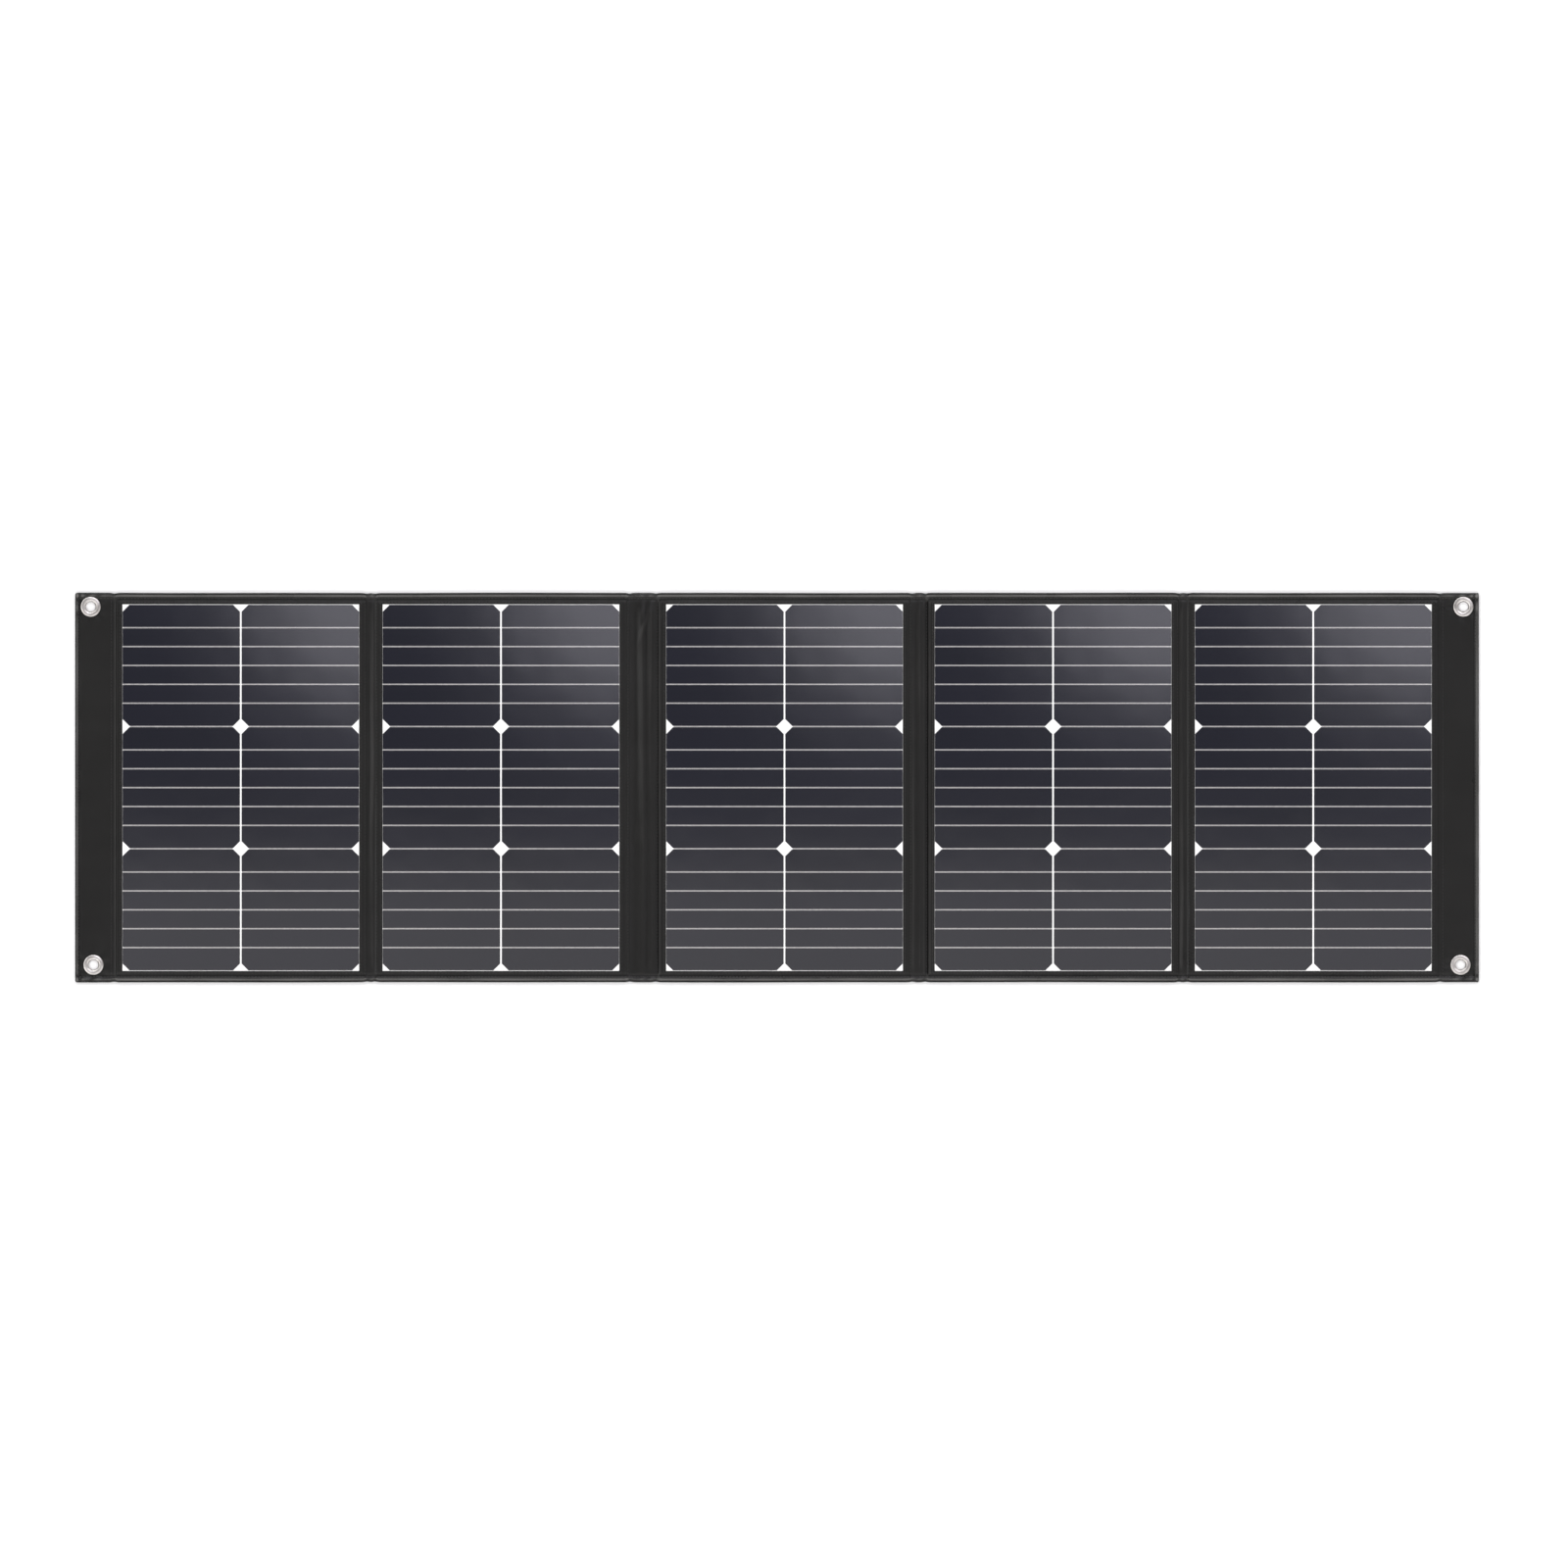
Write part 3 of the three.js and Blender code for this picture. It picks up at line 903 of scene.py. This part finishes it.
floor_material = Nodes("floor", Roughness=0.9, Specular_IOR_Level=0.1)
floor_place = floor_material.add("ShaderNodeTexCoord").outputs["Object"]
floor_tone = floor_material.noise(floor_place, scale=3.0, detail=2.0)
floor_colour = floor_material.ramp(floor_tone, (0.3, (0.94, 0.94, 0.94)), (0.7, (0.95, 0.95, 0.95)))
floor_material.drive("Base Color", floor_colour)
FLOOR_HALF = 40000.0
FLOOR_Z = -0.05
floor_corners = ((-1, -1), (1, -1), (1, 1), (-1, 1))
floor_points = [(x * FLOOR_HALF, y * FLOOR_HALF, FLOOR_Z) for x, y in floor_corners]
floor = link("floor", make_mesh("floor", floor_points, [(0, 1, 2, 3)]), floor_material.material)

# ---- Panels: cloth ------------------------------------------------------------------------------


def tape_on_edges(obj):
    """Gives the faces of the binding the tape's own material."""
    mesh = obj.data
    mesh.materials.append(binding_cloth)
    middle = np.zeros(len(mesh.polygons) * 3)
    mesh.polygons.foreach_get("center", middle)
    middle = middle.reshape(-1, 3) / MM
    share = binding_share(middle[:, 0], middle[:, 1])
    mesh.polygons.foreach_set("material_index", (share > 0.5).astype(np.int32))
    return obj


def outside_window(p):
    def keep(x, y):
        inside_x = (x > p.window_left + WINDOW_OVERHANG) & (x < p.window_right - WINDOW_OVERHANG)
        return ~(inside_x & (np.abs(y) < WINDOW_TOP - WINDOW_OVERHANG))

    return keep


def window_lines(p, x0, x1):
    """Grid lines along a panel, fine at the window's rims."""
    rims = (p.window_left + WINDOW_OVERHANG, p.window_right - WINDOW_OVERHANG)
    sides = [rims[0] - d for d in WINDOW_OFFSETS] + [rims[1] + d for d in WINDOW_OFFSETS]
    past = WINDOW_OFFSETS[-1]
    return lines((x0, rims[0] - past, 0.7), *sides, (*rims, 1.5), (rims[1] + past, x1, 0.7))


def rectangle_runs(x0, y0, x1, y1):
    corners = [(x0, y0), (x1, y0), (x1, y1), (x0, y1)]
    return list(zip(corners, corners[1:] + corners[:1]))


def panel_cloth(p):
    """A panel's front and back cloth, with the stitching of the binding and round the window."""
    body = f"panel_{p.n}"
    x0, x1 = p.left + PIECE_REACH, p.right - PIECE_REACH
    across, along = window_lines(p, x0, x1), y_lines(4.0)
    front_mesh = closed_sheet(
        f"{body}_front_cloth", across, along, front, front_under, 1, outside_window(p)
    )
    front_piece = tape_on_edges(link(f"{body}_front_cloth", front_mesh, cloth))
    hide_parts(f"{body}_front_frame")
    back_mesh = closed_sheet(
        f"{body}_back_cloth", lines((x0, x1, 3.0)), y_lines(3.5, False), back_under, back, -1
    )
    back_piece = tape_on_edges(link(f"{body}_back_cloth", back_mesh, cloth))
    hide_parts(f"{body}_back_cover")
    seam_y = HALF_Y - BINDING + SEAM_INSET
    near = WINDOW_SEAM - WINDOW_OVERHANG
    hems = [((x0, side * seam_y), (x1, side * seam_y)) for side in (-1, 1)]
    runs = hems + rectangle_runs(
        p.window_left - near, -WINDOW_TOP - near, p.window_right + near, WINDOW_TOP + near
    )
    front_seams = link(f"{body}_front_stitching", stitch_mesh("stitches", runs, front, 1), thread)
    back_seams = link(f"{body}_back_stitching", stitch_mesh("stitches", hems, back, -1), thread)
    for piece in (front_piece, back_piece, front_seams, back_seams):
        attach(piece, body)


# ---- Panels: laminate and cells -----------------------------------------------------------------

STRIPS = 6
CELLS_PER_STRING = 3
OUTER_STRIP = 24.0
INNER_STRIP = 19.25
STRIP_GAP = 1.0
CELL_CHAMFER = 7.3
LAMINATE_UNDER = 3.36
LAMINATE_TOP = 3.72
STRIP_TOP = 3.94
STRIP_EDGE = 0.16
# How much more of the laminate shows beside a strip than in the CAD, and how much wider a string is.
LINE_MORE = 0.17
STRING_WIDER = 0.42
# How deep a strip and a ribbon sit in the laminate, how high a ribbon stands on it, how far it reaches under
# the strips, and how far it stays from a wafer's cut corners.
STRIP_BED = 0.1
RIBBON_BED = 0.05
RIBBON_HEIGHT = 0.06
RIBBON_TUCK = 0.1
RIBBON_CLEAR = 0.3


def strips_of(bottom):
    """(bottom, top, first of its wafer, last of it) of each strip of a string that starts at bottom."""
    y = bottom
    for _ in range(CELLS_PER_STRING):
        for i in range(STRIPS):
            height = OUTER_STRIP if i in (0, STRIPS - 1) else INNER_STRIP
            yield y, y + height, i == 0, i == STRIPS - 1
            y += height + STRIP_GAP


def strip_outline(x0, x1, y0, y1, first, last):
    """A strip's outline, anticlockwise, with the wafer's own cut corners on its first and last strips."""
    c = CELL_CHAMFER
    low = [(x0, y0 + c), (x0 + c, y0), (x1 - c, y0), (x1, y0 + c)] if first else [(x0, y0), (x1, y0)]
    high = [(x1, y1 - c), (x1 - c, y1), (x0 + c, y1), (x0, y1 - c)] if last else [(x1, y1), (x0, y1)]
    return np.array(low + high, float)


def shrink(outline, by):
    """The outline with every side moved in by the same distance."""
    previous, following = np.roll(outline, 1, 0), np.roll(outline, -1, 0)
    a = (outline - previous) / np.linalg.norm(outline - previous, axis=1, keepdims=True)
    b = (following - outline) / np.linalg.norm(following - outline, axis=1, keepdims=True)
    na, nb = np.stack([-a[:, 1], a[:, 0]], 1), np.stack([-b[:, 1], b[:, 0]], 1)
    return outline + by * (na + nb) / (1 + (na * nb).sum(1, keepdims=True))


def plates(outlines, levels):
    """Closed plates of the same outline at each level: levels are (inset, height) from the bottom up."""
    points, faces, owner = [], [], []
    start = 0
    for number, outline in enumerate(outlines):
        k = len(outline)
        for inset, z in levels:
            ring = shrink(outline, inset)
            points.append(np.column_stack([ring, np.full(k, z)]))
        for level in range(len(levels) - 1):
            a, b = start + level * k, start + (level + 1) * k
            faces += [(a + i, a + (i + 1) % k, b + (i + 1) % k, b + i) for i in range(k)]
        faces.append(tuple(start + i for i in reversed(range(k))))
        faces.append(tuple(start + (len(levels) - 1) * k + i for i in range(k)))
        owner += [number] * (k * len(levels))
        start += k * len(levels)
    return np.concatenate(points), faces, np.array(owner)


def string_piece(p, side, box_name, seed):
    """One string of cell strips, with the tinned ribbons that join neighbouring strips."""
    x0, x1, bottom_edge, _ = box_mm(box_name)
    rows = list(strips_of(bottom_edge))
    wide = (x0 - STRING_WIDER, x1 + STRING_WIDER)
    ends = (rows[0][0], rows[-1][1])
    outlines = []
    for y0, y1, first, last in rows:
        low_y = y0 if y0 in ends else y0 + LINE_MORE
        high_y = y1 if y1 in ends else y1 - LINE_MORE
        outlines.append(strip_outline(*wide, low_y, high_y, first, last))
    levels = [(0, LAMINATE_TOP - STRIP_BED), (0, STRIP_TOP - STRIP_EDGE / 2), (STRIP_EDGE, STRIP_TOP)]
    points, faces, owner = plates(outlines, levels)
    uv = (points[:, :2] - (p.centre, 0)) * MM
    mesh = make_mesh(f"{box_name}_strips", points, faces, uv, flat=True)
    tints = np.random.default_rng(seed).uniform(size=len(outlines))
    tint = mesh.attributes.new("tint", "FLOAT", "POINT")
    tint.data.foreach_set("value", tints[owner].astype(np.float32))
    strips = link(f"panel_{p.n}_cell_strips_{side}", mesh, silicon)
    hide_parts(box_name)

    ribbons = []
    for (_, top, _, last), (bottom, *_) in zip(rows, rows[1:]):
        inset = CELL_CHAMFER + RIBBON_CLEAR if last else 0
        low_y, high_y = top - RIBBON_TUCK, bottom + RIBBON_TUCK
        ribbons.append(strip_outline(x0 + inset, x1 - inset, low_y, high_y, False, False))
    levels = [(0, LAMINATE_TOP - RIBBON_BED), (0, LAMINATE_TOP + RIBBON_HEIGHT)]
    points, faces, _ = plates(ribbons, levels)
    uv = (points[:, :2] - (p.centre, 0)) * MM
    ribbon_mesh = make_mesh(f"{box_name}_ribbons", points, faces, uv, flat=True)
    joined = link(f"panel_{p.n}_ribbons_{side}", ribbon_mesh, ribbon)
    return strips, joined


def laminate_piece(p):
    """The glossy white sheet that a panel's strips are laminated to."""
    outline = strip_outline(*box_mm(f"panel_{p.n}_film"), False, False)
    points, faces, _ = plates([outline], [(0, LAMINATE_UNDER), (0, LAMINATE_TOP)])
    uv = (points[:, :2] - (p.centre, 0)) * MM
    mesh = make_mesh(f"panel_{p.n}_laminate", points, faces, uv, flat=True)
    piece = link(f"panel_{p.n}_laminate", mesh, backsheet)
    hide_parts(f"panel_{p.n}_film")
    return piece


for p in panels:
    panel_cloth(p)
    laid = [laminate_piece(p)]
    for side in ("left", "right"):
        laid += string_piece(p, side, f"panel_{p.n}_cells_{side}", 10 * p.n + len(side))
    for piece in laid:
        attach(piece, f"panel_{p.n}")

# ---- Folds --------------------------------------------------------------------------------------


def fold_half(name, x0, x1, crease, before, after, replaced):
    """The front and back cloth of one half of a fold, with their stitching.

    replaced is the fold whose CAD cloths the half stands for, or None where the other half does."""
    across = lines((x0, x1, 0.55))
    along = y_lines(3.0, False)
    seam_y = HALF_Y - BINDING + SEAM_INSET
    hems = [((x0, side * seam_y), (x1, side * seam_y)) for side in (-1, 1)]
    seam_x = [at for at, _, _ in SEAMS if x0 < at < x1]
    seam_end = seam_y - SEAM_MARGIN
    upright = [((x, -seam_end), (x, seam_end)) for x in seam_x]
    for face, top, under, side in (("front", front, front_under, 1), ("back", back_under, back, -1)):
        mesh = closed_sheet(f"{name}_{face}_cloth", across, along, top, under, side)
        piece = tape_on_edges(link(f"{name}_{face}_cloth", mesh, cloth))
        outer = front if side > 0 else back
        stitches = stitch_mesh("stitches", hems + upright, outer, side)
        sewn = link(f"{name}_{face}_stitching", stitches, thread)
        for made in (piece, sewn):
            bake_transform(made)
        if replaced:
            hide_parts(f"{replaced}_{face}_cloth")


for fold, (left_crease, right_crease) in FOLDS.items():
    middle = (left_crease + right_crease) / 2
    before, after = f"panel_{fold[0]}", f"panel_{fold[1]}"
    body = f"fold_{fold}"
    fold_half(f"{body}_left", left_crease - PIECE_REACH, middle, left_crease, before, body, body)
    fold_half(f"{body}_right", middle, right_crease + PIECE_REACH, right_crease, body, after, None)

# ---- End flaps ----------------------------------------------------------------------------------

EYELET_PROFILE = [
    (10.4, 3.22), (10.65, 3.42), (10.5, 3.68), (9.9, 3.92), (9.0, 4.08), (8.0, 4.1), (7.0, 3.95),
    (6.2, 3.6), (5.5, 3.05), (5.15, 2.4), (5.1, 1.7), (5.3, 1.15), (5.9, 0.82), (6.9, 0.7),
    (7.7, 0.78), (7.6, 0.93), (6.8, 0.98), (6.2, 1.25), (5.9, 1.8), (5.9, 2.6), (6.4, 3.12),
    (8.0, 3.22), (9.4, 3.2),
]
WASHER_PROFILE = [
    (6.35, 1.1), (7.4, 1.02), (8.6, 0.95), (9.8, 0.98), (10.7, 1.15), (10.95, 1.42), (10.6, 1.6),
    (9.0, 1.5), (7.4, 1.5), (6.35, 1.45),
]
# Radius of the hole that the cloth has round an eyelet's barrel.
EYELET_ROOM = 7.6
# Grid lines about the end binding's inner edge, counted inwards, and how much of a flap's end has fine ones.
END_RIM_OFFSETS = [-0.8, -0.35, 0, 0.35, 0.9, 1.6]
END_FINE = 4


def clear_of_eyelets(x, y):
    clear = np.ones(x.shape, bool)
    for _, _, ex, ey in EYELETS:
        clear &= np.hypot(x - ex, y - ey) > EYELET_ROOM
    return clear


def flap(side, sign):
    """An end flap's cloth, stitching, eyelets and washers. sign is -1 for the left end, 1 for the right."""
    crease = hinge_x[f"flap_{side}_fold"]
    body = f"flap_{side}"
    inner = crease - sign * PIECE_REACH
    outer = sign * HALF_X
    edges = [outer - sign * d for d in EDGE_OFFSETS]
    rim = [outer - sign * (END_BINDING + d) for d in END_RIM_OFFSETS]
    ends = sorted((inner, outer - sign * END_FINE))
    across = lines((*ends, 1.0), *edges, *rim)
    mesh = closed_sheet(
        f"{body}_cloth", across, y_lines(2.0, False), front, back, 1, clear_of_eyelets
    )
    piece = tape_on_edges(link(f"{body}_sheet", mesh, cloth))
    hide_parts(f"{body}_cloth")

    seam_y = HALF_Y - BINDING + SEAM_INSET
    seam_x = outer - sign * (END_BINDING - END_SEAM_INSET)
    seam_in = crease + sign * FLAP_SEAM
    seam_end = seam_y - SEAM_MARGIN
    runs = [((inner, s * seam_y), (seam_x, s * seam_y)) for s in (-1, 1)]
    runs.append(((seam_x, -seam_y), (seam_x, seam_y)))
    runs.append(((seam_in, -seam_end), (seam_in, seam_end)))
    parts = [
        link(f"{body}_front_stitching", stitch_mesh("stitches", runs, front, 1), thread),
        link(f"{body}_back_stitching", stitch_mesh("stitches", runs, back, -1), thread),
    ]
    start, end = [((crease + d) * MM, 0, MID_Z * MM) for d in (-BLEND_REACH, BLEND_REACH)]
    for made in (piece, *parts):
        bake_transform(made)
        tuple(start)
        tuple(end)
    for eyelet_side, corner, ex, ey in EYELETS:
        if eyelet_side != side:
            continue
        for kind, profile in (("eyelet", EYELET_PROFILE), ("washer", WASHER_PROFILE)):
            node = f"{kind}_{corner}_{side}"
            turned = link(f"{node}_turned", profile_ring(node, profile, ex, ey), nickel)
            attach(turned, body)
            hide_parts(node)


flap("left", -1)
flap("right", 1)

# ---- What panel 5 holds, and the inner layers ---------------------------------------------------

GLAND_PROFILE = [
    (2.5, 0.25), (3.2, 0.08), (5.4, 0.08), (6.2, 0.25), (6.4, 0.8), (7.2, 0.9), (10.2, 0.9),
    (10.9, 1.2), (10.7, 1.9), (9.6, 2.15), (5.0, 2.2), (3.0, 2.1), (2.45, 1.6), (2.4, 0.9),
]
gland_ring = profile_ring("gland", GLAND_PROFILE, *centre_mm("lead_gland"))
gland = link("lead_gland_moulded", gland_ring, plastic)
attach(gland, "panel_5")
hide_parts("lead_gland")

CAD_FINISH = {"board": board, "foam": felt, "copper": copper, "black_plastic": plastic}
slot_of = {s["node"]: s["material_slot"] for s in frame["record"]["subparts"]}
for name, node in frame["nodes"].items():
    if node.hide_render:
        continue
    finish = CAD_FINISH[slot_of[name]]
    node.data.materials.clear()
    node.data.materials.append(finish)
